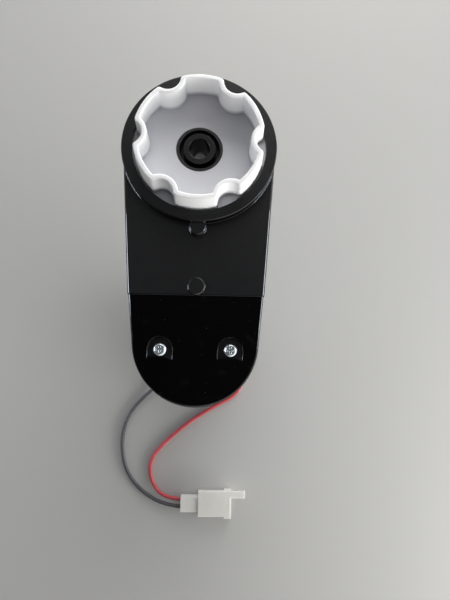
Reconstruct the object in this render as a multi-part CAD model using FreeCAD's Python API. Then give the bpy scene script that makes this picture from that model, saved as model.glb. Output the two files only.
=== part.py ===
import FreeCAD, Part
import math
import os

# Drive unit of a child's ride-on car: a flat two-part case with a lobed output coupler at one end
# and an upright motor under the other, joined by three spur gear stages that lie in one line.
# Millimetres. The origin is on the output axle's axis, where the two case halves meet.
# +Z points out through the coupler and the motor is on the -Y side.

os.makedirs("parts", exist_ok=True)
Vector = FreeCAD.Vector

# Gear train
pressure_angle = 20.0
backlash = 0.14  # play between flanks, at the pitch circle
stage_1_module = 0.8
motor_pinion_teeth = 10
wheel_1_teeth = 48
stage_2_module = 1.0
pinion_1_teeth = 10
wheel_2_teeth = 40
stage_3_module = 1.25
pinion_2_teeth = 11
output_teeth = 45
shift_10_teeth = 0.42  # profile shift in modules, which keeps the small pinions from undercut
shift_11_teeth = 0.36
root_room = 0.25  # tip to root room, in modules
layer_gap = 0.5  # along Z, between a gear and what it passes
wheel_1_width = 5.8
wheel_2_width = 5.5
pinion_overhang = 0.2  # how far the motor pinion stands out past its wheel's face
web_thickness = 3.0
rim_thickness = 2.1
rib_thickness = 1.6
rib_count = 6
hub_wall = 2.5
cover_thickness = 1.2  # of the disc that closes the output gear's teeth at the front
cover_reach = 0.5  # how far that disc stands out past the teeth

# Case
wall = 2.6
front_wall = 2.4
rear_wall = 2.4
case_front = 13.9  # height of the flat front face above the parting plane
case_rear = 14.0  # depth of the rear half
gear_room = 1.625  # around the output gear
case_end_radius = 26.9  # at the motor end
collar_height = 4.1  # above the front face
collar_lip = 2.8  # thickness of the lip that keeps the output gear in
lip_cover = 0.425  # how far the lip reaches over the teeth
edge_rounding = 1.3
rear_chamfer = 1.0
slope_lead = 3.6  # from the first idler's axis to the start of the slope
slope_angle = 12.0
slope_step = 0.25  # how far the slope's plane lies under the flat face's edge
slope_rounding = 1.1
slope_inset = 0.35  # the sloped part is this much narrower on each side
slope_ledge = 2.0  # height of the ledge that the inset leaves
tongue_thickness = 1.2
tongue_height = 1.4
fit_gap = 0.1  # between tongue and groove, and round the motor's boss
disc_radius = 3.5
disc_2_height = 2.75
disc_1_height = 0.7
disc_chamfer = 0.35

# Output bearing: a fixed tube that the axle passes through, and the bush that runs on it
axle_bore_radius = 4.5
tube_radius = 7.0
tube_rear = 2.0  # how far the tube stands out behind the case
tube_front = 0.7  # how far it stands above the output gear's face
bush_radius = 10.1
groove_radius = 8.8
groove_depth = 6.0
running_gap = 0.05
washer_thickness = 0.6
washer_radius = 10.4

# Coupler
coupler_height = 12.3
coupler_rim_radius = 27.1
coupler_foot_radius = 28.0
coupler_wall = 2.1
rim_chamfer = 0.45
lobe_count = 6
lobe_phase = -2.0
notch_radius = 5.5
notch_floor = 23.4  # distance from the axis to the deepest point of a notch, at the rim
lobe_corner = 1.5
lobe_inner_corner = 0.6

# Idler pins
pin_radius = 2.0
pin_gap = 0.02
pin_seat_radius = 4.6
pin_seat_height = 2.3
pin_depth = 1.6  # how deep a pin stands in the rear floor
pin_cover = 1.3  # plastic left over a pin's front end
idler_hub_radius = 3.3

# Screws
screw_radius = 1.45
screw_gap = 0.05
screw_clearance = 0.25
screw_head_radius = 2.7
screw_head_height = 2.0
head_chamfer = 0.7
cross_width = 0.7
cross_reach = 1.5  # from the middle of the head to the end of a recess arm
cross_depth = 1.0
head_gap = 0.4
post_radius = 3.4
blind_cover = 0.5  # plastic left past the end of a blind screw hole
front_screw_edge = 12.2  # from the widest place of the motor end to a front screw
front_screw_drop = 2.8  # how far past the motor's axis the front screws are
front_screw_seat = 7.95
front_screw_length = 16.0
front_seat_radius = 5.3
front_post_radius = 4.6
well_wall = 1.2  # round a front screw's well, inside the case
well_floor = 2.4  # under the well's seat
rear_screw_length = 16.0
rear_screw_recess = 2.6
motor_screw_spacing = 25.0
motor_screw_length = 5.0
motor_screw_recess = 0.8

# Motor
motor_radius = 17.9
motor_length = 57.0
can_wall = 1.7
motor_boss_radius = 6.5
motor_boss_height = 4.5
shaft_radius = 3.175 / 2
shaft_rear = 3.6  # how far the shaft stands out behind the can
shaft_tip = 0.3  # how far it stands out of the pinion
bearing_radius = 4.0
bearing_length = 4.0
vent_width = 8.0
vent_height = 5.0
vent_drop = 12.0  # from the can's front face to the middle of the vents
magnet_thickness = 4.1
magnet_drop = 10.0  # from the can's front face
magnet_clearance = 0.8  # between the magnets and the brush guides
magnet_angle = 130.0
air_gap = 0.6
core_drop = 14.0  # from the can's front face
core_hub_radius = 4.6
pole_count = 5
pole_neck = 3.6
pole_shoe = 1.8
slot_opening = 2.4
coil_gap = 0.3
coil_overhang = 3.0
coil_clearance = 1.5  # between the coils and the commutator
commutator_radius = 4.5
commutator_wall = 1.2
commutator_length = 7.0
segment_gap = 0.5
hub_low = 0.5  # how far the commutator's hub stands out below its bars
hub_high = 1.5
endbell_thickness = 4.6
endbell_boss_radius = 5.2
endbell_boss_height = 3.4
endbell_boss_floor = 0.5
brush_width = 4.0
brush_length = 5.2
brush_gap = 0.2
guide_wall = 1.0
guide_length = 7.0
spring_radius = 1.5
spring_wire = 0.5
terminal_width = 3.0
terminal_thickness = 0.6
terminal_height = 5.4  # below the can's end
terminal_head = 0.8  # above the endbell's inner face
skirt_wall = 2.0
skirt_height = 8.0
motor_gap = 0.25  # between the motor and what is round it

# Motor cap, which the unit stands on
cap_wall = 3.2
cap_floor = 1.8
cap_depth = 8.0  # from the can's end to the surface that the unit stands on
cap_overlap = 12.0
cap_ledge = 1.6  # width of the ledge that the can's end rests on
cap_chamfer = 0.4
lead_slot_gap = 0.45

# Leads and plug
lead_radius = 1.0
floor_gap = 0.05  # between a lead and the surface that the unit stands on
plug_grip = 3.3  # how far the leads go into the plug
plug_entry_length = 10.0
plug_entry_width = 8.2
plug_entry_height = 5.6
plug_length = 18.6
plug_width = 14.6
plug_height = 7.0
plug_wall = 1.2
plug_mouth_depth = 12.0
plug_flange_length = 3.8
plug_flange = 0.7
latch_width = 3.7
latch_thickness = 1.2
latch_reach = 8.0
latch_hook = 1.2
contact_radius = 0.9
contact_recess = 5.2  # from the contact's end to the mouth
entry_gap = 0.35
lead_joint = 0.1  # between a lead's end and the metal that it is joined to

# Places along the line of gears
idler_2_y = -stage_3_module * (pinion_2_teeth + output_teeth) / 2
idler_1_y = idler_2_y - stage_2_module * (pinion_1_teeth + wheel_2_teeth) / 2
motor_y = idler_1_y - stage_1_module * (motor_pinion_teeth + wheel_1_teeth) / 2

# Heights of the gear layers
floor_z = rear_wall - case_rear
roof_z = case_front - front_wall
idler_seat_z = floor_z + pin_seat_height
wheel_1_low = idler_seat_z + layer_gap
wheel_1_high = wheel_1_low + wheel_1_width
pinion_1_low = wheel_1_high + layer_gap
wheel_2_low = pinion_1_low + layer_gap
wheel_2_high = wheel_2_low + wheel_2_width
output_low = wheel_2_high + layer_gap
collar_top = case_front + collar_height
lip_z = collar_top - collar_lip
output_high = lip_z - layer_gap
pinion_2_high = roof_z - layer_gap
washer_low = output_low - washer_thickness
rim_z = output_high + coupler_height
tube_top = output_high + tube_front
tube_end = -case_rear - tube_rear

# Radii that follow from the teeth
output_shift = -shift_11_teeth
wheel_2_shift = -shift_10_teeth
output_tip = stage_3_module * (output_teeth / 2 + 1 + output_shift)
output_root = stage_3_module * (output_teeth / 2 - 1 - root_room + output_shift)
wheel_2_tip = stage_2_module * (wheel_2_teeth / 2 + 1 + wheel_2_shift)
cavity_radius = output_tip + gear_room
collar_radius = cavity_radius + wall
lip_radius = output_tip - lip_cover
bush_seat_radius = bush_radius + hub_wall

# Motor radii and heights
can_front = -case_rear
can_end = can_front - motor_length
boss_top = can_front + motor_boss_height
can_inside = motor_radius - can_wall
magnet_radius = can_inside - fit_gap
magnet_bore = magnet_radius - magnet_thickness
core_radius = magnet_bore - air_gap
endbell_radius = can_inside - fit_gap
endbell_inner = can_end + endbell_thickness
bearing_seat = can_end - endbell_boss_height + endbell_boss_floor
guide_half = brush_width / 2 + guide_wall
brush_z = endbell_inner + guide_half
guide_start = commutator_radius + 2 * guide_wall
guide_end = guide_start + guide_length
commutator_high = brush_z + commutator_length / 2
commutator_low = brush_z - commutator_length / 2
core_high = can_front - core_drop
core_low = commutator_high + coil_clearance + coil_overhang
magnet_high = can_front - magnet_drop
magnet_low = brush_z + guide_half + magnet_clearance
pinion_top = wheel_1_high + layer_gap
cap_radius = motor_radius + motor_gap + cap_wall
stand_z = can_end - cap_depth

# Places of the screws
front_screw_x = case_end_radius - front_screw_edge
front_screw_y = motor_y - front_screw_drop
post_x = wheel_2_tip + layer_gap + post_radius
motor_screw_ys = (motor_y - motor_screw_spacing / 2, motor_y + motor_screw_spacing / 2)

# Routes of the two leads, from the motor's terminals to the plug
lead_z = stand_z + lead_radius + floor_gap
black_route = [
    (-8.1, -88.3, stand_z + 3.4),
    (-17.6, -98.9, stand_z + 3.4),
    (-33.0, -110.8, lead_z),
    (-42.6, -123.5, lead_z),
    (-44.9, -138.0, lead_z),
    (-41.3, -154.0, lead_z),
    (-30.5, -165.9, lead_z),
    (-16.5, -171.8, stand_z + 3.9),
    (-5.6, -172.2, stand_z + 4.2),
]
red_route = [
    (8.1, -78.1, stand_z + 3.4),
    (14.8, -82.7, stand_z + 3.4),
    (22.0, -89.3, stand_z + 3.2),
    (25.5, -96.2, stand_z + 1.7),
    (25.6, -103.6, lead_z),
    (21.5, -109.9, lead_z),
    (11.0, -115.2, lead_z),
    (-5.5, -125.3, lead_z),
    (-20.0, -137.6, lead_z),
    (-27.8, -147.5, lead_z),
    (-26.6, -159.3, lead_z),
    (-18.2, -168.0, stand_z + 3.9),
    (-5.6, -168.2, stand_z + 4.2),
]
plug_y = (black_route[-1][1] + red_route[-1][1]) / 2
plug_z = black_route[-1][2]
plug_start = black_route[-1][0] - plug_grip
main_start = plug_start + plug_entry_length
plug_mouth = main_start + plug_length


# Small helpers

def cylinder(radius, low, high, x=0.0, y=0.0):
    return Part.makeCylinder(radius, high - low, Vector(x, y, low))


def tube(outer, inner, low, high, x=0.0, y=0.0):
    return cylinder(outer, low, high, x, y).cut(cylinder(inner, low - 1, high + 1, x, y))


def block(x_low, x_high, y_low, y_high, z_low, z_high):
    size = (x_high - x_low, y_high - y_low, z_high - z_low)
    return Part.makeBox(*size, Vector(x_low, y_low, z_low))


def prism(wire, low, high):
    face = Part.Face(wire)
    face.translate(Vector(0, 0, low))
    return face.extrude(Vector(0, 0, high - low))


def arc(start, middle, end):
    return Part.Arc(start, middle, end).toShape()


def polar(radius, degrees):
    angle = math.radians(degrees)
    return Vector(radius * math.cos(angle), radius * math.sin(angle), 0)


def turned(shape, degrees, x=0.0, y=0.0):
    shape.rotate(Vector(x, y, 0), Vector(0, 0, 1), degrees)
    return shape


def save(node, *solids):
    shape = solids[0] if len(solids) == 1 else Part.makeCompound(list(solids))
    shape.exportStep("parts/" + node + ".step")
    count = len(shape.Solids)
    print(node, count, round(shape.Volume, 1), "valid" if shape.isValid() else "NOT VALID")


# Gear teeth

def involute_angle(base, radius):
    # angle in radians that an involute has turned through where it reaches the given radius
    ratio = math.sqrt(max(0.0, (radius / base) ** 2 - 1))
    return ratio - math.atan(ratio)


def gear_wire(module, teeth, shift, first_tooth):
    # outline of a spur gear with one tooth centred at first_tooth degrees
    pitch = module * teeth / 2
    base = pitch * math.cos(math.radians(pressure_angle))
    tip = pitch + module * (1 + shift)
    root = pitch - module * (1 + root_room - shift)
    half_tooth = (math.pi / 2 + 2 * shift * math.tan(math.radians(pressure_angle))) * module
    half_tooth = (half_tooth - backlash / 2) / (2 * pitch)
    flank_angle = half_tooth + involute_angle(base, pitch)
    start = max(base, root)
    radii = [start, (start + tip) / 2, tip]
    halves = [math.degrees(flank_angle - involute_angle(base, radius)) for radius in radii]
    if root < base:
        radii.insert(0, root)
        halves.insert(0, halves[0])
    rise = list(zip(radii, halves))
    corners = []
    for tooth in range(teeth):
        centre = first_tooth + 360.0 * tooth / teeth
        corners += [polar(radius, centre - half) for radius, half in rise]
        corners += [polar(radius, centre + half) for radius, half in reversed(rise)]
    return Part.makePolygon(corners + corners[:1])


def gear(module, teeth, shift, first_tooth, low, high, y):
    solid = prism(gear_wire(module, teeth, shift, first_tooth), low, high)
    solid.translate(Vector(0, y, 0))
    return solid


# Each wheel has a tooth centred towards the motor, and each pinion a gap centred towards the
# output, so that every pair is in mesh at rest.

def wheel(module, teeth, shift, low, high, y):
    return gear(module, teeth, shift, -90.0, low, high, y)


def pinion(module, teeth, shift, low, high, y):
    return gear(module, teeth, shift, 90.0 + 180.0 / teeth, low, high, y)


# Case

def case_outline(inset):
    # the collar's circle and the motor end's circle, joined by the two lines that touch both
    big = collar_radius - inset
    small = case_end_radius - inset
    side = math.asin((big - small) / -motor_y)
    outward = Vector(math.cos(side), -math.sin(side), 0)
    outward_left = Vector(-outward.x, outward.y, 0)
    end = Vector(0, motor_y, 0)
    right_top = outward * big
    right_end = end + outward * small
    left_end = end + outward_left * small
    left_top = outward_left * big
    return Part.Wire([
        Part.LineSegment(right_top, right_end).toShape(),
        arc(right_end, end + Vector(0, -small, 0), left_end),
        Part.LineSegment(left_end, left_top).toShape(),
        arc(left_top, Vector(0, big, 0), right_top),
    ])


slope_tangent = math.tan(math.radians(slope_angle))
slope_start = idler_1_y - slope_lead


def slope_height(y, depth):
    drop = (slope_start - y) * slope_tangent
    return case_front - slope_step - drop - depth / math.cos(math.radians(slope_angle))


def above_slope(depth, start):
    # what lies above the slope's plane, or above a plane the given depth under it, from start
    # towards the motor end
    end = motor_y - 2 * case_end_radius
    high = slope_height(2 * collar_radius, 0) + 2 * collar_radius
    corners = [
        Vector(-2 * collar_radius, start, slope_height(start, depth)),
        Vector(-2 * collar_radius, end, slope_height(end, depth)),
        Vector(-2 * collar_radius, end, high),
        Vector(-2 * collar_radius, start, high),
    ]
    face = Part.Face(Part.makePolygon(corners + corners[:1]))
    return face.extrude(Vector(4 * collar_radius, 0, 0))


def slope_corner(depth):
    return slope_start + depth * math.tan(math.radians(slope_angle) / 2)


def top_edges(shape):
    # the edges round the one face that looks up
    faces = [face for face in shape.Faces if face.normalAt(0, 0).z > 0.9]
    return faces[0].Edges


def front_block():
    flat = prism(case_outline(0), 0, case_front)
    flat = flat.makeFillet(edge_rounding, top_edges(flat))
    far = 2 * case_end_radius - motor_y
    flat = flat.cut(block(-far, far, -far, slope_start, slope_ledge, case_front + 1))
    sloped = prism(case_outline(slope_inset), 0, case_front + collar_radius)
    sloped = sloped.cut(above_slope(0, 2 * collar_radius))
    sloped = sloped.makeFillet(slope_rounding, top_edges(sloped))
    sloped = sloped.cut(block(-far, far, slope_start, far, -1, case_front + far))
    return flat.fuse(sloped).removeSplitter()


def disc(y, height):
    low = case_front - front_wall / 2
    high = case_front + height
    body = cylinder(disc_radius, low, high, 0, y)
    top = [edge for edge in body.Edges if edge.BoundBox.ZMin > high - 0.01]
    return body.makeChamfer(disc_chamfer, top)


def screw_places(x, y):
    return [(-x, y), (x, y)]


def front_shell():
    body = front_block()
    collar = cylinder(collar_radius, 0, collar_top)
    top = [edge for edge in collar.Edges if edge.BoundBox.ZMin > collar_top - 0.01]
    collar = collar.makeChamfer(disc_chamfer, top)
    body = body.fuse([collar, disc(idler_2_y, disc_2_height), disc(idler_1_y, disc_1_height)])
    inside = prism(case_outline(wall), -1, roof_z)
    inside = inside.cut(above_slope(front_wall, slope_corner(front_wall)))
    body = body.cut(inside)
    half_wall = front_wall / 2
    under_slope = prism(case_outline(wall / 2), 0, case_front)
    under_slope = under_slope.cut(above_slope(half_wall, slope_corner(half_wall)))
    posts = []
    for x, y in screw_places(front_screw_x, front_screw_y):
        posts.append(cylinder(front_post_radius, 0, case_front, x, y).common(under_slope))
        shroud = cylinder(front_seat_radius + well_wall, front_screw_seat - well_floor, case_front, x, y)
        posts.append(shroud.common(under_slope))
    for x, y in screw_places(post_x, idler_2_y):
        post = cylinder(post_radius, 0, roof_z + half_wall, x, y)
        posts.append(post.common(under_slope))
    posts.append(cylinder(pin_seat_radius, wheel_2_high + layer_gap, roof_z + 1, 0, idler_1_y))
    body = body.fuse(posts)
    cuts = [cylinder(cavity_radius, -1, lip_z), cylinder(lip_radius, 0, collar_top + 1)]
    groove = prism(case_outline(wall - tongue_thickness - fit_gap), -1, tongue_height + fit_gap)
    cuts.append(groove.cut(prism(case_outline(wall + fit_gap), -2, tongue_height + 1)))
    for y, height in ((idler_2_y, disc_2_height), (idler_1_y, disc_1_height)):
        cuts.append(cylinder(pin_radius + pin_gap, 0, case_front + height - pin_cover, 0, y))
    for x, y in screw_places(front_screw_x, front_screw_y):
        cuts.append(cylinder(screw_radius + screw_clearance, -1, case_front, x, y))
        cuts.append(screw_well(x, y))
    for x, y in screw_places(post_x, idler_2_y):
        cuts.append(cylinder(screw_radius + screw_gap, -1, roof_z - blind_cover, x, y))
    return body.cut(cuts).removeSplitter()


def screw_well(x, y):
    # level seat with a round end, which runs out where the slope drops below it
    reach = front_seat_radius
    low = front_screw_seat
    high = case_front + 1
    round_end = cylinder(reach, low, high, x, y)
    return round_end.fuse(block(x - reach, x + reach, y - 3 * reach, y, low, high))


def rear_shell():
    body = prism(case_outline(0), -case_rear, 0)
    low_rim = [edge for edge in body.Edges if edge.BoundBox.ZMax < -case_rear + 0.01]
    body = body.makeChamfer(rear_chamfer, low_rim)
    body = body.cut(prism(case_outline(wall), floor_z, 1))
    tongue = prism(case_outline(wall - tongue_thickness), 0, tongue_height)
    tongue = tongue.cut(prism(case_outline(wall), -1, tongue_height + 1))
    lower_tongue = prism(case_outline(wall - tongue_thickness), -1, 0)
    lower_tongue = lower_tongue.cut(prism(case_outline(wall), -2, 1))
    posts = [tongue.fuse(lower_tongue), cylinder(tube_radius, tube_end, tube_top)]
    posts.append(cylinder(bush_radius - running_gap, floor_z - 1, washer_low))
    for y in (idler_1_y, idler_2_y):
        posts.append(cylinder(pin_seat_radius, floor_z - 1, idler_seat_z, 0, y))
    for x, y in screw_places(front_screw_x, front_screw_y):
        posts.append(cylinder(front_post_radius, floor_z - 1, 0, x, y))
    for x, y in screw_places(post_x, idler_2_y):
        posts.append(cylinder(post_radius, floor_z - 1, 0, x, y))
    skirt_bore = motor_radius + motor_gap
    skirt_end = can_front - skirt_height
    posts.append(tube(skirt_bore + skirt_wall, skirt_bore, skirt_end, can_front + 1, 0, motor_y))
    body = body.fuse(posts)
    cuts = [cylinder(axle_bore_radius, tube_end - 1, tube_top + 1)]
    for y in (idler_1_y, idler_2_y):
        cuts.append(cylinder(pin_radius + pin_gap, floor_z - pin_depth, idler_seat_z + 1, 0, y))
    for x, y in screw_places(front_screw_x, front_screw_y):
        low = front_screw_seat - front_screw_length - 1
        cuts.append(cylinder(screw_radius + screw_gap, low, 1, x, y))
    for x, y in screw_places(post_x, idler_2_y):
        cuts.append(cylinder(screw_radius + screw_clearance, -case_rear - 1, 1, x, y))
        seat = -case_rear + rear_screw_recess
        cuts.append(cylinder(screw_head_radius + head_gap, -case_rear - 1, seat, x, y))
    cuts.append(cylinder(motor_boss_radius + fit_gap, -case_rear - 1, floor_z + 1, 0, motor_y))
    for y in motor_screw_ys:
        cuts.append(cylinder(screw_radius + screw_clearance, -case_rear - 1, floor_z + 1, 0, y))
        seat = floor_z - motor_screw_recess
        cuts.append(cylinder(screw_head_radius + head_gap, seat, floor_z + 1, 0, y))
    return body.cut(cuts).removeSplitter()


# Screws: a pan head with a cross recess, and a plain shank in place of the thread

def screw(x, y, seat, length, up):
    # up is 1 where the head points to +Z, and -1 where it points to -Z
    head = cylinder(screw_head_radius, 0, screw_head_height)
    top = [edge for edge in head.Edges if edge.BoundBox.ZMin > screw_head_height - 0.01]
    head = head.makeChamfer(head_chamfer, top)
    half = cross_width / 2
    low = screw_head_height - cross_depth
    high = screw_head_height + 1
    cross = block(-cross_reach, cross_reach, -half, half, low, high)
    cross = cross.fuse(block(-half, half, -cross_reach, cross_reach, low, high))
    body = head.cut(cross).fuse(cylinder(screw_radius, -length, 0))
    if up < 0:
        body.rotate(Vector(0, 0, 0), Vector(1, 0, 0), 180)
    body.translate(Vector(x, y, seat))
    return body.removeSplitter()


# Output: gear, flange and coupler are one moulding

def lobed_wire(radius, notch, corner, low):
    # a circle with round notches, whose corners are rounded; notch is the notch circle's radius
    centre_radius = notch_floor + notch_radius
    near = radius - corner
    reach = notch + corner
    spread = math.degrees(math.acos(
        (centre_radius ** 2 + near ** 2 - reach ** 2) / (2 * centre_radius * near)))
    edges = []
    pitch = 360.0 / lobe_count
    for lobe in range(lobe_count):
        angle = lobe_phase + pitch * lobe
        notch_centre = polar(centre_radius, angle)
        corner_a = polar(near, angle - spread)
        corner_b = polar(near, angle + spread)
        touch_a = notch_centre + (corner_a - notch_centre) * (notch / reach)
        touch_b = notch_centre + (corner_b - notch_centre) * (notch / reach)
        rim_a = polar(radius, angle - spread)
        rim_b = polar(radius, angle + spread)
        next_rim = polar(radius, angle + pitch - spread)
        bulge_a = ((rim_a - corner_a).normalize() + (touch_a - corner_a).normalize()).normalize()
        bulge_b = ((rim_b - corner_b).normalize() + (touch_b - corner_b).normalize()).normalize()
        edges.append(arc(rim_a, corner_a + bulge_a * corner, touch_a))
        edges.append(arc(touch_a, polar(centre_radius - notch, angle), touch_b))
        edges.append(arc(touch_b, corner_b + bulge_b * corner, rim_b))
        edges.append(arc(rim_b, polar(radius, angle + pitch / 2), next_rim))
    wire = Part.Wire(edges)
    wire.translate(Vector(0, 0, low))
    return wire


def coupler():
    foot_z = output_high - web_thickness / 2
    outer = Part.makeLoft([
        lobed_wire(coupler_foot_radius, notch_radius, lobe_corner, foot_z),
        lobed_wire(coupler_rim_radius, notch_radius, lobe_corner, rim_z),
    ], True, True)
    notch = notch_radius + coupler_wall
    inner = Part.makeLoft([
        lobed_wire(coupler_foot_radius - coupler_wall, notch, lobe_inner_corner, foot_z),
        lobed_wire(coupler_rim_radius - coupler_wall, notch, lobe_inner_corner, rim_z),
    ], True, True)
    cup = outer.cut(inner)
    rim = [edge for edge in cup.Edges if edge.BoundBox.ZMin > rim_z - 0.01]
    return cup.makeChamfer(rim_chamfer, rim)


def output_gear():
    cover_z = output_high - cover_thickness
    body = wheel(stage_3_module, output_teeth, output_shift, output_low, cover_z, 0)
    body = body.fuse(cylinder(output_tip + cover_reach, cover_z, output_high))
    ring_bore = output_root - rim_thickness
    hollow = tube(ring_bore, bush_seat_radius, output_low - 1, output_high - web_thickness)
    ribs = []
    for rib in range(rib_count):
        plate = block(bush_seat_radius - 1, ring_bore + 1, -rib_thickness / 2, rib_thickness / 2,
                      output_low + layer_gap, output_high)
        ribs.append(turned(plate, 360.0 * rib / rib_count))
    hollow = hollow.cut(ribs)
    body = body.cut([hollow, cylinder(bush_radius, output_low - 1, output_high + 1)])
    return body.fuse(coupler()).removeSplitter()


def output_bush():
    body = tube(bush_radius, tube_radius + running_gap, output_low, output_high)
    return body.cut(cylinder(groove_radius, output_high - groove_depth, output_high + 1))


def thrust_washer():
    return tube(washer_radius, tube_radius + running_gap, washer_low, output_low)


# Idlers

def idler_gear_2():
    y = idler_2_y
    big = wheel(stage_2_module, wheel_2_teeth, wheel_2_shift, wheel_2_low, wheel_2_high, y)
    small = pinion(stage_3_module, pinion_2_teeth, shift_11_teeth, output_low, pinion_2_high, y)
    neck = cylinder(pin_seat_radius, wheel_2_high - 1, output_low + 1, 0, y)
    foot = cylinder(idler_hub_radius, idler_seat_z, wheel_2_low + 1, 0, y)
    body = big.fuse([small, neck, foot])
    return body.cut(cylinder(pin_radius + running_gap, idler_seat_z - 1, pinion_2_high + 1, 0, y))


def idler_gear_1():
    y = idler_1_y
    big = wheel(stage_1_module, wheel_1_teeth, -shift_10_teeth, wheel_1_low, wheel_1_high, y)
    small = pinion(stage_2_module, pinion_1_teeth, shift_10_teeth, pinion_1_low, wheel_2_high, y)
    neck = cylinder(idler_hub_radius, wheel_1_high - 1, pinion_1_low + 1, 0, y)
    foot = cylinder(idler_hub_radius, idler_seat_z, wheel_1_low + 1, 0, y)
    body = big.fuse([small, neck, foot])
    return body.cut(cylinder(pin_radius + running_gap, idler_seat_z - 1, wheel_2_high + 1, 0, y))


def idler_pin(y, disc_height):
    top = case_front + disc_height - pin_cover
    return cylinder(pin_radius, floor_z - pin_depth, top, 0, y)


# Motor, fixed pieces

def motor_can():
    body = cylinder(motor_radius, can_end, can_front, 0, motor_y)
    body = body.fuse(cylinder(motor_boss_radius, can_front - 1, boss_top, 0, motor_y))
    inside = can_front - can_wall
    cuts = [cylinder(can_inside, can_end - 1, inside, 0, motor_y)]
    cuts.append(cylinder(bearing_radius + pin_gap, inside - 1, boss_top + 1, 0, motor_y))
    for y in motor_screw_ys:
        cuts.append(cylinder(screw_radius + screw_gap, inside - 1, can_front + 1, 0, y))
    high = can_front - vent_drop + vent_height / 2
    low = high - vent_height
    half = vent_width / 2
    across = 2 * motor_radius
    cuts.append(block(-across, across, motor_y - half, motor_y + half, low, high))
    return body.cut(cuts)


def motor_bearing(high):
    return tube(bearing_radius, shaft_radius + running_gap, high - bearing_length, high, 0, motor_y)


def magnets():
    shapes = []
    height = magnet_high - magnet_low
    foot = Vector(0, 0, magnet_low)
    for middle in (90.0, 270.0):
        full = Part.makeCylinder(magnet_radius, height, foot, Vector(0, 0, 1), magnet_angle)
        full = turned(full, middle - magnet_angle / 2)
        full = full.cut(cylinder(magnet_bore, magnet_low - 1, magnet_high + 1))
        full.translate(Vector(0, motor_y, 0))
        shapes.append(full)
    return shapes


def brush_guide(side):
    # a box on the endbell's inner face, closed by its outer end wall
    body = block(guide_start, guide_end, -guide_half, guide_half,
                 endbell_inner - 1, brush_z + guide_half)
    half = brush_width / 2 + fit_gap
    room = block(guide_start - 1, guide_end - guide_wall, -half, half, brush_z - half, brush_z + half)
    return placed_on_motor(body.cut(room), side)


def placed_on_motor(shape, side):
    if side < 0:
        shape = turned(shape, 180)
    shape.translate(Vector(0, motor_y, 0))
    return shape


def terminal_plates(grow):
    # a flat tab behind the start of each lead, square to it
    plates = []
    for route in (black_route, red_route):
        heading = math.atan2(route[1][1] - route[0][1], route[1][0] - route[0][0])
        half = terminal_width / 2 + grow
        low = can_end - terminal_height
        plate = block(-terminal_thickness - lead_joint - grow, grow - lead_joint, -half, half,
                      low, endbell_inner + terminal_head)
        plate = turned(plate, math.degrees(heading))
        plate.translate(Vector(route[0][0], route[0][1], 0))
        plates.append(plate)
    return plates


def motor_endbell():
    body = cylinder(endbell_radius, can_end, endbell_inner, 0, motor_y)
    boss_end = can_end - endbell_boss_height
    boss = cylinder(endbell_boss_radius, boss_end, endbell_inner, 0, motor_y)
    body = body.fuse([boss, brush_guide(1), brush_guide(-1)])
    top = endbell_inner + 1
    bearing_top = bearing_seat + bearing_length
    cuts = [cylinder(bearing_radius + pin_gap, bearing_seat, bearing_top, 0, motor_y)]
    cuts.append(cylinder(shaft_radius + motor_gap, boss_end - 1, top, 0, motor_y))
    cuts.append(cylinder(commutator_radius + layer_gap, commutator_low - 1, top, 0, motor_y))
    cuts += terminal_plates(pin_gap)
    return body.cut(cuts)


def brushes():
    shapes = []
    start = commutator_radius + brush_gap
    half = brush_width / 2
    for side in (1, -1):
        body = block(start, start + brush_length, -half, half, brush_z - half, brush_z + half)
        shapes.append(placed_on_motor(body, side))
    return shapes


def brush_springs():
    shapes = []
    start = commutator_radius + brush_gap + brush_length
    length = guide_end - guide_wall - start
    foot = Vector(start, 0, brush_z)
    for side in (1, -1):
        body = Part.makeCylinder(spring_radius, length, foot, Vector(1, 0, 0))
        bore = Part.makeCylinder(spring_radius - spring_wire, length, foot, Vector(1, 0, 0))
        shapes.append(placed_on_motor(body.cut(bore), side))
    return shapes


# Motor, turning pieces

def motor_shaft():
    return cylinder(shaft_radius, can_end - shaft_rear, pinion_top + shaft_tip, 0, motor_y)


def motor_pinion():
    low = wheel_1_low - pinion_overhang
    body = pinion(stage_1_module, motor_pinion_teeth, shift_10_teeth, low, pinion_top, motor_y)
    return body.cut(cylinder(shaft_radius, low - 1, pinion_top + 1, 0, motor_y))


def slot_shape(grow):
    # the room for one coil between two poles, at 0 degrees
    inner = core_hub_radius + grow
    outer = core_radius - pole_shoe - grow
    half_pitch = math.radians(180.0 / pole_count)
    half_neck = pole_neck / 2 + grow

    def corner(radius, side):
        angle = half_pitch - math.asin(half_neck / radius)
        return polar(radius, side * math.degrees(angle))

    edges = [
        Part.LineSegment(corner(inner, -1), corner(outer, -1)).toShape(),
        arc(corner(outer, -1), Vector(outer, 0, 0), corner(outer, 1)),
        Part.LineSegment(corner(outer, 1), corner(inner, 1)).toShape(),
        arc(corner(inner, 1), Vector(inner, 0, 0), corner(inner, -1)),
    ]
    return Part.Wire(edges)


def armature_core():
    body = cylinder(core_radius, core_low, core_high)
    cuts = [cylinder(shaft_radius, core_low - 1, core_high + 1)]
    mouth = slot_opening / 2
    for pole in range(pole_count):
        slot = prism(slot_shape(0), core_low - 1, core_high + 1)
        gap = block(core_hub_radius + 1, core_radius + 1, -mouth, mouth, core_low - 1, core_high + 1)
        cuts.append(turned(slot.fuse(gap), 360.0 * pole / pole_count))
    body = body.cut(cuts)
    body.translate(Vector(0, motor_y, 0))
    return body


def armature_windings():
    shapes = []
    for pole in range(pole_count):
        coil = prism(slot_shape(coil_gap), core_low - coil_overhang, core_high + coil_overhang)
        coil = turned(coil, 360.0 * pole / pole_count)
        coil.translate(Vector(0, motor_y, 0))
        shapes.append(coil)
    return shapes


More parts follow.
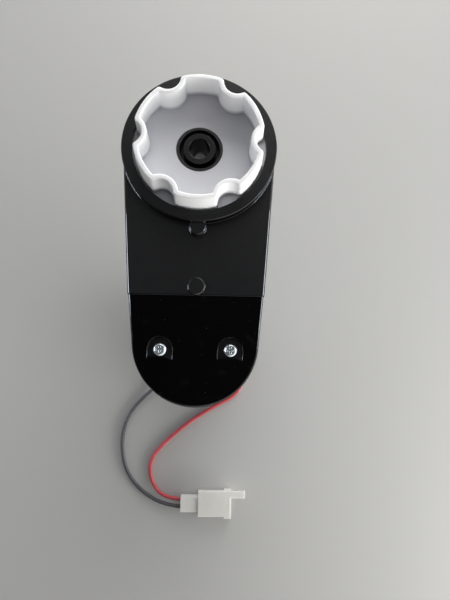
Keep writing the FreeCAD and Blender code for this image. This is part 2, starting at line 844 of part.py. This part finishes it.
def commutator_hub():
    outer = commutator_radius - commutator_wall
    return tube(outer, shaft_radius, commutator_low - hub_low, commutator_high + hub_high, 0, motor_y)


def commutator_bars():
    inner = commutator_radius - commutator_wall
    ring = tube(commutator_radius, inner, commutator_low, commutator_high)
    cuts = []
    for pole in range(pole_count):
        gap = block(0, commutator_radius + 1, -segment_gap / 2, segment_gap / 2,
                    commutator_low - 1, commutator_high + 1)
        cuts.append(turned(gap, 360.0 * (pole + 0.5) / pole_count))
    ring = ring.cut(cuts)
    ring.translate(Vector(0, motor_y, 0))
    return ring.Solids


# Cap over the motor's end

def lead_slot(route):
    # a round-ended slot along the run that passes through the cap's wall
    start, end = [pair for pair in zip(route, route[1:]) if wall_crossed(*pair)][0]
    heading = math.degrees(math.atan2(end[1] - start[1], end[0] - start[0]))
    half = lead_radius + lead_slot_gap
    low = (start[2] + end[2]) / 2
    cut = Part.makeCylinder(half, 2 * cap_radius, Vector(0, 0, 0), Vector(1, 0, 0))
    cut = turned(cut, heading)
    cut.translate(Vector(start[0], start[1], low))
    return cut


def wall_crossed(start, end):
    near = math.hypot(start[0], start[1] - motor_y)
    far = math.hypot(end[0], end[1] - motor_y)
    return near < cap_radius < far


def motor_cap():
    high = can_end + cap_overlap
    body = cylinder(cap_radius, stand_z, high, 0, motor_y)
    ends = [edge for edge in body.Edges if len(edge.Vertexes) == 1]
    body = body.makeChamfer(cap_chamfer, ends)
    cuts = [cylinder(motor_radius + motor_gap, can_end, high + 1, 0, motor_y)]
    room = motor_radius - cap_ledge
    cuts.append(cylinder(room, stand_z + cap_floor, can_end + 1, 0, motor_y))
    cuts += [lead_slot(black_route), lead_slot(red_route)]
    return body.cut(cuts)


# Leads: straight runs joined by arcs that touch them

def lead(name, route):
    points = [Vector(*point) for point in route]
    edges = []
    start = points[0]
    radii = []
    for before, corner, after in zip(points, points[1:], points[2:]):
        back = before - corner
        ahead = after - corner
        turn = math.pi - back.getAngle(ahead)
        reach = 0.45 * min(back.Length, ahead.Length)
        radii.append(reach / math.tan(turn / 2))
        arc_start = corner + back.normalize() * reach
        arc_end = corner + ahead.normalize() * reach
        inward = (back + ahead).normalize()
        depth = radii[-1] / math.cos(turn / 2) - radii[-1]
        edges.append(Part.LineSegment(start, arc_start).toShape())
        edges.append(arc(arc_start, corner + inward * depth, arc_end))
        start = arc_end
    edges.append(Part.LineSegment(start, points[-1]).toShape())
    path = Part.Wire(edges)
    first = points[1] - points[0]
    section = Part.Wire([Part.Circle(points[0], first, lead_radius).toShape()])
    body = path.makePipeShell([section], True, True)
    expected = math.pi * lead_radius ** 2 * path.Length
    print(name, "length", round(path.Length, 1), "radii", [round(radius, 1) for radius in radii],
          "volume ratio", round(body.Volume / expected, 4))
    return body


# Plug

def lead_ends():
    return (black_route[-1], red_route[-1])


def plug_block(x_low, x_high, width, height):
    # a block about the plug's own axis
    return block(x_low, x_high, plug_y - width / 2, plug_y + width / 2,
                 plug_z - height / 2, plug_z + height / 2)


def along_plug(radius, start, end, y, z):
    return Part.makeCylinder(radius, end - start, Vector(start, y, z), Vector(1, 0, 0))


def plug_housing():
    entry = plug_block(plug_start, main_start + 1, plug_entry_width, plug_entry_height)
    main_width = plug_width - 2 * plug_flange
    main = plug_block(main_start, plug_mouth, main_width, plug_height)
    long_edges = [edge for edge in main.Edges if edge.BoundBox.XLength > 1]
    main = main.makeFillet(plug_flange, long_edges)
    flange = plug_block(plug_mouth - plug_flange_length, plug_mouth, plug_width, plug_height)
    latch_y = plug_y + plug_width / 2
    latch_z = plug_z + plug_height / 2
    latch_end = plug_mouth + latch_reach
    arm_low = latch_z - latch_thickness
    arm = block(main_start, latch_end, latch_y - latch_width, latch_y, arm_low, latch_z)
    hook = block(latch_end - latch_reach / 2, latch_end, latch_y - latch_width, latch_y,
                 arm_low - latch_hook, latch_z)
    body = entry.fuse([main, flange, arm, hook])
    # the latch arm stands out past the mouth, so the room stops at the mouth
    room_width = main_width - 2 * plug_wall
    room_height = plug_height - 2 * plug_wall
    cuts = [plug_block(plug_mouth - plug_mouth_depth, plug_mouth, room_width, room_height)]
    for x, y, z in lead_ends():
        cuts.append(along_plug(lead_radius + entry_gap, plug_start - 1, x + lead_joint, y, z))
        cuts.append(along_plug(contact_radius + pin_gap, x, plug_mouth, y, z))
    return body.cut(cuts).removeSplitter()


def plug_contacts():
    end = plug_mouth - contact_recess
    return [along_plug(contact_radius, x + lead_joint, end, y, z) for x, y, z in lead_ends()]


# Build

save("front_shell", front_shell())
save("rear_shell", rear_shell())
save("front_case_screws", *[screw(x, y, front_screw_seat, front_screw_length, 1)
                            for x, y in screw_places(front_screw_x, front_screw_y)])
save("rear_case_screws", *[screw(x, y, -case_rear + rear_screw_recess, rear_screw_length, -1)
                           for x, y in screw_places(post_x, idler_2_y)])
save("motor_screws", *[screw(0, y, floor_z - motor_screw_recess, motor_screw_length, 1)
                       for y in motor_screw_ys])
save("output_gear", output_gear())
save("output_bush", output_bush())
save("thrust_washer", thrust_washer())
save("idler_gear_2", idler_gear_2())
save("idler_pin_2", idler_pin(idler_2_y, disc_2_height))
save("idler_gear_1", idler_gear_1())
save("idler_pin_1", idler_pin(idler_1_y, disc_1_height))
save("motor_can", motor_can())
save("front_motor_bearing", motor_bearing(boss_top))
save("rear_motor_bearing", motor_bearing(bearing_seat + bearing_length))
save("motor_magnets", *magnets())
save("motor_endbell", motor_endbell())
save("carbon_brushes", *brushes())
save("brush_springs", *brush_springs())
save("motor_terminals", *terminal_plates(0))
save("motor_shaft", motor_shaft())
save("motor_pinion", motor_pinion())
save("armature_core", armature_core())
save("armature_windings", *armature_windings())
save("commutator_hub", commutator_hub())
save("commutator_bars", *commutator_bars())
save("motor_cap", motor_cap())
save("black_lead", lead("black_lead", black_route))
save("red_lead", lead("red_lead", red_route))
save("plug_housing", plug_housing())
save("plug_contacts", *plug_contacts())
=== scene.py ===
import math
import bpy
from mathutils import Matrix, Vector


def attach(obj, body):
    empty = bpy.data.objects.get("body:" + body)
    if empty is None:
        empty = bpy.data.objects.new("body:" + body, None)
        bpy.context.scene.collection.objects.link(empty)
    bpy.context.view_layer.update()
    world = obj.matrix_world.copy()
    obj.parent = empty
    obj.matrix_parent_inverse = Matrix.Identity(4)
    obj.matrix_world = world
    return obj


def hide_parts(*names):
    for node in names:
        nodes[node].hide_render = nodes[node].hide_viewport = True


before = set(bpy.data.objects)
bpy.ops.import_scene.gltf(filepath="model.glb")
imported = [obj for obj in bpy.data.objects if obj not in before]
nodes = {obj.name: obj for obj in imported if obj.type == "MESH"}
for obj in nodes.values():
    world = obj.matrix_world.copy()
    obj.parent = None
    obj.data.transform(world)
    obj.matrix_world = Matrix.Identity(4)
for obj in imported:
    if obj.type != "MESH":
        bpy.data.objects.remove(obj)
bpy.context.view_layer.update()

# Drive gearbox of a ride-on toy, standing upright on its motor end and seen from above.
# Blender works in metres, and mm turns the millimetres below into metres.
mm = 0.001
motorY = -83.2 * mm
standHeight = -79 * mm  # the flat end of the motor cap
noiseSpan = (0.3, 0.7)  # nearly all values of a noise texture lie here


def srgb(text):
    # an sRGB hex value as the linear colour that the shaders take
    parts = [int(text[i:i + 2], 16) / 255 for i in (1, 3, 5)]
    linear = [p / 12.92 if p <= 0.04045 else ((p + 0.055) / 1.055) ** 2.4 for p in parts]
    return (*linear, 1.0)


def addNode(tree, kind, inputs, **settings):
    # an input takes either another node's output or a plain value
    node = tree.nodes.new(kind)
    for name, value in settings.items():
        setattr(node, name, value)
    for name, value in inputs.items():
        if isinstance(value, bpy.types.NodeSocket):
            tree.links.new(value, node.inputs[name])
        else:
            node.inputs[name].default_value = value
    return node


def newMaterial(name, colour, roughness, **inputs):
    material = bpy.data.materials.new(name)
    material.use_nodes = True
    shader = material.node_tree.nodes["Principled BSDF"]
    shader.inputs["Base Color"].default_value = srgb(colour)
    shader.inputs["Roughness"].default_value = roughness
    for key, value in inputs.items():
        shader.inputs[key.replace("_", " ")].default_value = value
    return material, material.node_tree, shader


# Camera: a phone held above the motor end, looking almost straight down
camera = {
    "lens": 27.0,
    "sensor": 36.0,
    "nearest": 0.01,
    "placeMm": (6.083, -92.955, 197.736),
    "tiltDegrees": (8.467, -1.956, 0.831),
}


def makeCamera():
    data = bpy.data.cameras.new("camera")
    data.lens = camera["lens"]
    data.sensor_width = camera["sensor"]
    data.clip_start = camera["nearest"]
    body = bpy.data.objects.new("camera", data)
    body.location = [v * mm for v in camera["placeMm"]]
    body.rotation_euler = [math.radians(a) for a in camera["tiltDegrees"]]
    bpy.context.scene.collection.objects.link(body)
    bpy.context.scene.camera = body


makeCamera()
print("camera placed")


# Leads: stranded wire in PVC sleeves, lying on the floor from the motor to the plug
leads = {
    "diameter": 2.0,
    "stepsPerSpan": 12,
    "stepsRound": 6,
    "blackLength": 122.0,
    "redLength": 138.1,
    "blackRoute": [
        (-8.1, -88.3, -75.6), (-17.6, -98.9, -75.6), (-33.0, -110.8, -77.95),
        (-42.6, -123.5, -77.95), (-44.9, -138.0, -77.95), (-41.3, -154.0, -77.95),
        (-30.5, -165.9, -77.95), (-16.5, -171.8, -75.1), (-5.6, -172.2, -74.8),
    ],
    "redRoute": [
        (8.1, -78.1, -75.6), (14.8, -82.7, -75.6), (22.0, -89.3, -75.8),
        (25.5, -96.2, -77.3), (25.6, -103.6, -77.95), (21.5, -109.9, -77.95),
        (11.0, -115.2, -77.95), (-5.5, -125.3, -77.95), (-20.0, -137.6, -77.95),
        (-27.8, -147.5, -77.95), (-26.6, -159.3, -77.95), (-18.2, -168.0, -75.1),
        (-5.6, -168.2, -74.8),
    ],
}
sleeve = {
    "roughness": 0.55,
    "shine": 0.3,
    "patchMm": 6.0,
    "rippleMm": 1.2,
    "rippleDepthMm": 0.05,
}


def pvcSleeve(name, colour, darker):
    # extruded PVC: a soft sheen, with a slightly uneven colour from the strands beneath
    material, tree, shader = newMaterial(name, colour, sleeve["roughness"],
                                         Specular_IOR_Level=sleeve["shine"])
    point = addNode(tree, "ShaderNodeTexCoord", {}).outputs["Object"]
    patches = addNode(tree, "ShaderNodeTexNoise",
                      {"Vector": point, "Scale": 1 / (sleeve["patchMm"] * mm)})
    tint = addNode(tree, "ShaderNodeMix", {"Factor": patches.outputs["Fac"], "A": srgb(colour),
                                           "B": srgb(darker)}, data_type="RGBA")
    tree.links.new(tint.outputs["Result"], shader.inputs["Base Color"])
    ripple = addNode(tree, "ShaderNodeTexNoise",
                     {"Vector": point, "Scale": 1 / (sleeve["rippleMm"] * mm)})
    bump = addNode(tree, "ShaderNodeBump", {"Height": ripple.outputs["Fac"],
                                            "Distance": sleeve["rippleDepthMm"] * mm})
    tree.links.new(bump.outputs["Normal"], shader.inputs["Normal"])
    return material


def makeLead(name, node, route, material):
    curve = bpy.data.curves.new(name, "CURVE")
    curve.dimensions = "3D"
    curve.resolution_u = leads["stepsPerSpan"]
    curve.bevel_depth = leads["diameter"] / 2 * mm
    curve.bevel_resolution = leads["stepsRound"]
    curve.use_fill_caps = True
    spline = curve.splines.new("NURBS")
    spline.points.add(len(route) - 1)
    for point, place in zip(spline.points, route):
        point.co = (*[v * mm for v in place], 1)
    spline.order_u = 3
    spline.use_endpoint_u = True
    lead = bpy.data.objects.new(name, curve)
    bpy.context.scene.collection.objects.link(lead)
    lead.data.materials.append(material)
    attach(lead, "case")
    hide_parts(node)


blackPvc = pvcSleeve("black PVC sleeve", "#5A5A5E", "#48484C")
redPvc = pvcSleeve("red PVC sleeve", "#D6555C", "#BE464D")
makeLead("blackLead", "black_lead", leads["blackRoute"], blackPvc)
makeLead("redLead", "red_lead", leads["redRoute"], redPvc)
print("leads laid")


# Case halves and motor cap: moulded ABS
caseFinish = {
    "colour": "#060607",
    "dustColour": "#4A4946",
    "levelNormal": (0.983, 0.996),  # how far a face points up: the slope stays below this
    "satinRoughness": (0.38, 0.42),
    "satinShine": 0.25,
    "satinPatchMm": 3.0,
    "glossRoughness": (0.07, 0.24),
    "glossShine": 0.5,
    "smearMm": 7.0,
    "smearNoise": (0.58, 0.72),  # only the peaks of the noise are smears
    "dustMm": 0.7,
    "dustNoise": (0.855, 0.875),
    "grainMm": 0.25,  # spark erosion leaves about 0.05 mm, drawn coarser so that it shows
    "grainDepthMm": 0.012,
}


def mouldedAbs():
    # satin on the level faces, as a spark-eroded mould leaves them, and mirror-like on the slope
    # and the edges, with faint smears there and a few specks of dust
    look = caseFinish
    material, tree, shader = newMaterial("moulded ABS", look["colour"], look["satinRoughness"][0])
    coordinates = addNode(tree, "ShaderNodeTexCoord", {}).outputs
    point = coordinates["Object"]
    normal = addNode(tree, "ShaderNodeSeparateXYZ", {"Vector": coordinates["Normal"]})
    level = addNode(tree, "ShaderNodeMapRange",
                    {"Value": normal.outputs["Z"], "From Min": look["levelNormal"][0],
                     "From Max": look["levelNormal"][1]}).outputs["Result"]
    shine = addNode(tree, "ShaderNodeMapRange", {"Value": level, "To Min": look["glossShine"],
                                                 "To Max": look["satinShine"]})
    tree.links.new(shine.outputs["Result"], shader.inputs["Specular IOR Level"])

    patches = addNode(tree, "ShaderNodeTexNoise",
                      {"Vector": point, "Scale": 1 / (look["satinPatchMm"] * mm)})
    satin = addNode(tree, "ShaderNodeMapRange",
                    {"Value": patches.outputs["Fac"], "From Min": noiseSpan[0],
                     "From Max": noiseSpan[1], "To Min": look["satinRoughness"][0],
                     "To Max": look["satinRoughness"][1]})
    smears = addNode(tree, "ShaderNodeTexNoise",
                     {"Vector": point, "Scale": 1 / (look["smearMm"] * mm)})
    gloss = addNode(tree, "ShaderNodeMapRange",
                    {"Value": smears.outputs["Fac"], "From Min": look["smearNoise"][0],
                     "From Max": look["smearNoise"][1], "To Min": look["glossRoughness"][0],
                     "To Max": look["glossRoughness"][1]})
    rough = addNode(tree, "ShaderNodeMix", {"Factor": level, "A": gloss.outputs["Result"],
                                            "B": satin.outputs["Result"]}, data_type="FLOAT")
    tree.links.new(rough.outputs["Result"], shader.inputs["Roughness"])

    specks = addNode(tree, "ShaderNodeTexNoise",
                     {"Vector": point, "Scale": 1 / (look["dustMm"] * mm), "Detail": 0.0})
    dust = addNode(tree, "ShaderNodeMapRange",
                   {"Value": specks.outputs["Fac"], "From Min": look["dustNoise"][0],
                    "From Max": look["dustNoise"][1]})
    tint = addNode(tree, "ShaderNodeMix",
                   {"Factor": dust.outputs["Result"], "A": srgb(look["colour"]),
                    "B": srgb(look["dustColour"])}, data_type="RGBA")
    tree.links.new(tint.outputs["Result"], shader.inputs["Base Color"])

    grain = addNode(tree, "ShaderNodeTexNoise",
                    {"Vector": point, "Scale": 1 / (look["grainMm"] * mm)})
    height = addNode(tree, "ShaderNodeMath", {0: grain.outputs["Fac"], 1: level},
                     operation="MULTIPLY")
    bump = addNode(tree, "ShaderNodeBump", {"Height": height.outputs[0],
                                            "Distance": look["grainDepthMm"] * mm})
    tree.links.new(bump.outputs["Normal"], shader.inputs["Normal"])
    return material


# Coupler, idlers and plug: moulded nylon
nylon = {
    "scatterMm": 1.6,
    "patchMm": 9.0,
    "rippleMm": 0.6,
    "rippleDepthMm": 0.01,
    # painted shade: from the web's top upwards the coupler's colour goes from the grey shade
    # colour to white
    "paintedShadeTopMm": 15.8,
    "paintedShadeBlendMm": 1.5,
}


def mouldedNylon(name, colour, toneOrPaintedShade, roughness, paintedShadeOverWeb=False):
    # milky and slightly waxy, as light goes a little way in. On the coupler, painted shade makes
    # the thin web greyer than the walls, standing in for the light the web loses to the dark
    # inside of the case
    material, tree, shader = newMaterial(name, colour, roughness, Subsurface_Weight=1.0,
                                         Subsurface_Scale=nylon["scatterMm"] * mm)
    shader.inputs["Subsurface Radius"].default_value = (1.0, 1.0, 1.0)
    point = addNode(tree, "ShaderNodeTexCoord", {}).outputs["Object"]
    if paintedShadeOverWeb:
        # painted shade: below its top the web takes the darker colour, as shade
        place = addNode(tree, "ShaderNodeSeparateXYZ", {"Vector": point})
        blend = addNode(tree, "ShaderNodeMapRange",
                        {"Value": place.outputs["Z"], "From Min": nylon["paintedShadeTopMm"] * mm,
                         "From Max": (nylon["paintedShadeTopMm"] + nylon["paintedShadeBlendMm"]) * mm,
                         "To Min": 1.0, "To Max": 0.0}).outputs["Result"]
    else:
        # elsewhere the second colour is a random tone of the nylon, not shade
        blend = addNode(tree, "ShaderNodeTexNoise",
                        {"Vector": point, "Scale": 1 / (nylon["patchMm"] * mm)}).outputs["Fac"]
    tint = addNode(tree, "ShaderNodeMix", {"Factor": blend, "A": srgb(colour), "B": srgb(toneOrPaintedShade)},
                   data_type="RGBA")
    tree.links.new(tint.outputs["Result"], shader.inputs["Base Color"])
    ripple = addNode(tree, "ShaderNodeTexNoise",
                     {"Vector": point, "Scale": 1 / (nylon["rippleMm"] * mm)})
    bump = addNode(tree, "ShaderNodeBump", {"Height": ripple.outputs["Fac"],
                                            "Distance": nylon["rippleDepthMm"] * mm})
    tree.links.new(bump.outputs["Normal"], shader.inputs["Normal"])
    return material


def plainSurface(name, colour, roughness, grainMm=0.5, depthMm=0.01):
    # one even colour, with a surface that is only nearly smooth
    material, tree, shader = newMaterial(name, colour, roughness)
    point = addNode(tree, "ShaderNodeTexCoord", {}).outputs["Object"]
    grain = addNode(tree, "ShaderNodeTexNoise", {"Vector": point, "Scale": 1 / (grainMm * mm)})
    bump = addNode(tree, "ShaderNodeBump", {"Height": grain.outputs["Fac"],
                                            "Distance": depthMm * mm})
    tree.links.new(bump.outputs["Normal"], shader.inputs["Normal"])
    return material


# Metals: handling leaves duller and shinier patches, each some grains wide
handling = {
    "grainsWide": 8,
    "shinier": 0.8,
    "duller": 1.25,
}


def bareMetal(name, colour, roughness, grainMm=0.3, depthMm=0.004):
    material, tree, shader = newMaterial(name, colour, roughness, Metallic=1.0)
    point = addNode(tree, "ShaderNodeTexCoord", {}).outputs["Object"]
    patches = addNode(tree, "ShaderNodeTexNoise",
                      {"Vector": point, "Scale": 1 / (grainMm * handling["grainsWide"] * mm)})
    rough = addNode(tree, "ShaderNodeMapRange",
                    {"Value": patches.outputs["Fac"], "From Min": noiseSpan[0],
                     "From Max": noiseSpan[1], "To Min": roughness * handling["shinier"],
                     "To Max": roughness * handling["duller"]})
    tree.links.new(rough.outputs["Result"], shader.inputs["Roughness"])
    grain = addNode(tree, "ShaderNodeTexNoise", {"Vector": point, "Scale": 1 / (grainMm * mm)})
    bump = addNode(tree, "ShaderNodeBump", {"Height": grain.outputs["Fac"],
                                            "Distance": depthMm * mm})
    tree.links.new(bump.outputs["Normal"], shader.inputs["Normal"])
    return material


finishes = [
    (mouldedAbs(), ["front_shell", "rear_shell", "motor_cap"]),
    # bright white walls round a web painted grey: painted shade, not the nylon's own colour
    (mouldedNylon("moulded nylon", "#FCFCFC", "#D7D7DB", 0.38, paintedShadeOverWeb=True), ["output_gear"]),
    # natural nylon, a little less white
    (mouldedNylon("gear nylon", "#F3F3F2", "#ECECEA", 0.4), ["idler_gear_1", "idler_gear_2"]),
    # the plug looks like frosted glass
    (mouldedNylon("clear nylon", "#EAE9E5", "#E0DFDA", 0.3), ["plug_housing"]),
    # turned acetal: dull black beside the glossier case
    (plainSurface("black acetal", "#0E0E10", 0.35), ["output_bush"]),
    # zinc plate: pale blue-grey and rippled, so a head shows light and dark facets
    (bareMetal("zinc plated steel", "#C2C8CB", 0.24, 0.9, 0.05),
     ["front_case_screws", "rear_case_screws", "motor_screws"]),
    # ground steel: an even grey shine
    (bareMetal("ground steel", "#B4B4B6", 0.3),
     ["idler_pin_1", "idler_pin_2", "thrust_washer", "motor_shaft", "brush_springs",
      "armature_core"]),
    # nickel plate: a softer, paler shine along the can
    (bareMetal("nickel plated steel", "#BDBFC1", 0.33), ["motor_can"]),
    # sintered bronze: dull brown, dark with oil
    (bareMetal("sintered bronze", "#8C6A45", 0.5), ["front_motor_bearing", "rear_motor_bearing"]),
    # turned brass: yellow with a clean shine
    (bareMetal("brass", "#C9A45A", 0.3), ["motor_pinion", "motor_terminals", "plug_contacts"]),
    # enamelled copper: red-brown under a clear coat
    (bareMetal("enamelled copper", "#A8562F", 0.35), ["armature_windings", "commutator_bars"]),
    # pressed ferrite: matt dark grey, like slate
    (plainSurface("ferrite", "#2B2B2E", 0.8), ["motor_magnets"]),
    # pressed carbon: near black with a faint sheen
    (plainSurface("carbon", "#232323", 0.6), ["carbon_brushes"]),
    # moulded PBT: plain dull black
    (plainSurface("moulded PBT", "#1C1C1E", 0.5), ["motor_endbell", "commutator_hub"]),
]


# Edges: every edge is slightly rounded, so it catches a thin line of light
edges = {
    "roundMm": {"front_shell": 0.15, "rear_shell": 0.25, "motor_cap": 0.3, "output_gear": 0.35,
                "plug_housing": 0.3, "output_bush": 0.2, "motor_can": 0.25},
    "otherRoundMm": 0.08,
    "roundFromDegrees": 32,
    "roundSegments": 3,
    "cornerMm": {"front_shell": 0.28},  # its sharper corners are rounded first, and wider
    "cornerFromDegrees": 60,
    "cornerSegments": 4,
    "weldMm": 0.002,
    "flatDegrees": 0.5,
}


def roundEdges(part, name, widthMm, angle, segments, clamped):
    bevel = part.modifiers.new(name, "BEVEL")
    bevel.width = widthMm * mm
    bevel.segments = segments
    bevel.limit_method = "ANGLE"
    bevel.angle_limit = math.radians(angle)
    bevel.use_clamp_overlap = clamped
    bevel.harden_normals = True


def dress(node, material):
    part = nodes[node]
    part.data.materials.clear()
    part.data.materials.append(material)
    for face in part.data.polygons:
        face.use_smooth = True
        face.material_index = 0
    weld = part.modifiers.new("weld", "WELD")
    weld.merge_threshold = edges["weldMm"] * mm
    flat = part.modifiers.new("flat", "DECIMATE")  # makes each flat face one, for even shading
    flat.decimate_type = "DISSOLVE"
    flat.angle_limit = math.radians(edges["flatDegrees"])
    if node in edges["cornerMm"]:
        roundEdges(part, "corners", edges["cornerMm"][node], edges["cornerFromDegrees"],
                   edges["cornerSegments"], False)
    roundEdges(part, "edges", edges["roundMm"].get(node, edges["otherRoundMm"]),
               edges["roundFromDegrees"], edges["roundSegments"], True)
    even = part.modifiers.new("even", "WEIGHTED_NORMAL")
    even.keep_sharp = False


for material, members in finishes:
    for member in members:
        dress(member, material)
print("pieces finished")


# Floor: a plain card, dull and pale grey
card = {
    "width": 1.6,
    "gapMm": 0.02,
    "colour": "#B9B8B5",
    "roughness": 0.8,
}


def makeFloor():
    half = card["width"] / 2
    mesh = bpy.data.meshes.new("floor")
    mesh.from_pydata([(-half, -half, 0), (half, -half, 0), (half, half, 0), (-half, half, 0)], [],
                     [(0, 1, 2, 3)])
    floor = bpy.data.objects.new("floor", mesh)
    floor.location = (0, motorY, standHeight - card["gapMm"] * mm)
    bpy.context.scene.collection.objects.link(floor)
    mesh.materials.append(newMaterial("grey card", card["colour"], card["roughness"])[0])


# Room: bright at window height, dimmer overhead, darkest where the phone is held, and shaded
# where its holder stands, at the lower left
room = {
    "colour": "#F4F4F4",
    "bandHeights": (0.1, 0.42),
    "bandStrengths": (2.4, 0.58),
    "phone": (0.0, -0.42, 0.9),
    "phoneReach": (0.80, 0.93),
    "phoneDimming": 0.06,
    "holder": (-0.8, -0.5, 0.33),
    "holderReach": (0.2, 0.85),
    "holderDimming": 0.1,
    "seenAtMost": 0.85,  # the camera sees it as a pale grey wall
}


def makeRoom():
    world = bpy.data.worlds.new("room")
    bpy.context.scene.world = world
    world.use_nodes = True
    tree = world.node_tree
    direction = addNode(tree, "ShaderNodeTexCoord", {}).outputs["Generated"]
    shades = []
    for what in ("phone", "holder"):
        facing = addNode(tree, "ShaderNodeVectorMath",
                         {0: direction, 1: Vector(room[what]).normalized()},
                         operation="DOT_PRODUCT")
        shades.append(addNode(tree, "ShaderNodeMapRange",
                              {"Value": facing.outputs["Value"],
                               "From Min": room[what + "Reach"][0],
                               "From Max": room[what + "Reach"][1],
                               "To Min": 1.0, "To Max": room[what + "Dimming"]}))
    height = addNode(tree, "ShaderNodeSeparateXYZ", {"Vector": direction})
    band = addNode(tree, "ShaderNodeMapRange",
                   {"Value": height.outputs["Z"], "From Min": room["bandHeights"][0],
                    "From Max": room["bandHeights"][1], "To Min": room["bandStrengths"][0],
                    "To Max": room["bandStrengths"][1]})
    lit = addNode(tree, "ShaderNodeMath",
                  {0: shades[0].outputs["Result"], 1: band.outputs["Result"]},
                  operation="MULTIPLY")
    strength = addNode(tree, "ShaderNodeMath",
                       {0: lit.outputs[0], 1: shades[1].outputs["Result"]}, operation="MULTIPLY")
    seen = addNode(tree, "ShaderNodeMath", {0: strength.outputs[0], 1: room["seenAtMost"]},
                   operation="MINIMUM")
    rays = addNode(tree, "ShaderNodeLightPath", {})
    given = addNode(tree, "ShaderNodeMix",
                    {"Factor": rays.outputs["Is Camera Ray"], "A": strength.outputs[0],
                     "B": seen.outputs[0]}, data_type="FLOAT")
    background = tree.nodes["Background"]
    background.inputs["Color"].default_value = srgb(room["colour"])
    tree.links.new(given.outputs["Result"], background.inputs["Strength"])


# Lamps: the near window isn't mirrored in the case, and the two walls light nothing and show
# only as thin pale lines in the glossy edges
lamps = {
    "window": {"place": (0.38, -0.25, 0.02), "target": (0.02, -0.08, 0.0),
               "size": (0.34, 0.15), "power": 1.7, "colour": "#FFFFFC",
               "lights": True, "mirrored": False},
    "far window": {"place": (0.12, 0.46, 0.28), "target": (0.02, -0.06, -0.03),
                   "size": (0.45, 0.3), "power": 2.5, "colour": "#FFFFFF",
                   "lights": True, "mirrored": True},
    "left wall": {"place": (-0.5, -0.04, 0.2), "target": (0, -0.06, 0),
                  "size": (0.3, 0.2), "power": 4.32, "colour": "#E6EFFF",
                  "lights": False, "mirrored": True},
    "right wall": {"place": (0.55, -0.06, 0.26), "target": (0, -0.06, 0),
                   "size": (0.4, 0.2), "power": 5.4, "colour": "#E6EFFF",
                   "lights": False, "mirrored": True},
}


def makeLamp(name, lamp):
    data = bpy.data.lights.new(name, "AREA")
    data.shape = "RECTANGLE"
    data.size, data.size_y = lamp["size"]
    data.energy = lamp["power"]
    data.color = srgb(lamp["colour"])[:3]
    body = bpy.data.objects.new(name, data)
    body.location = lamp["place"]
    aim = Vector(lamp["target"]) - Vector(lamp["place"])
    body.rotation_euler = aim.to_track_quat("-Z", "Y").to_euler()
    body.visible_diffuse = lamp["lights"]
    body.visible_glossy = lamp["mirrored"]
    bpy.context.scene.collection.objects.link(body)


bpy.context.scene.view_settings.view_transform = "Standard"  # a colour shows as it is written
makeFloor()
makeRoom()
for name, lamp in lamps.items():
    makeLamp(name, lamp)
print("floor and light ready")
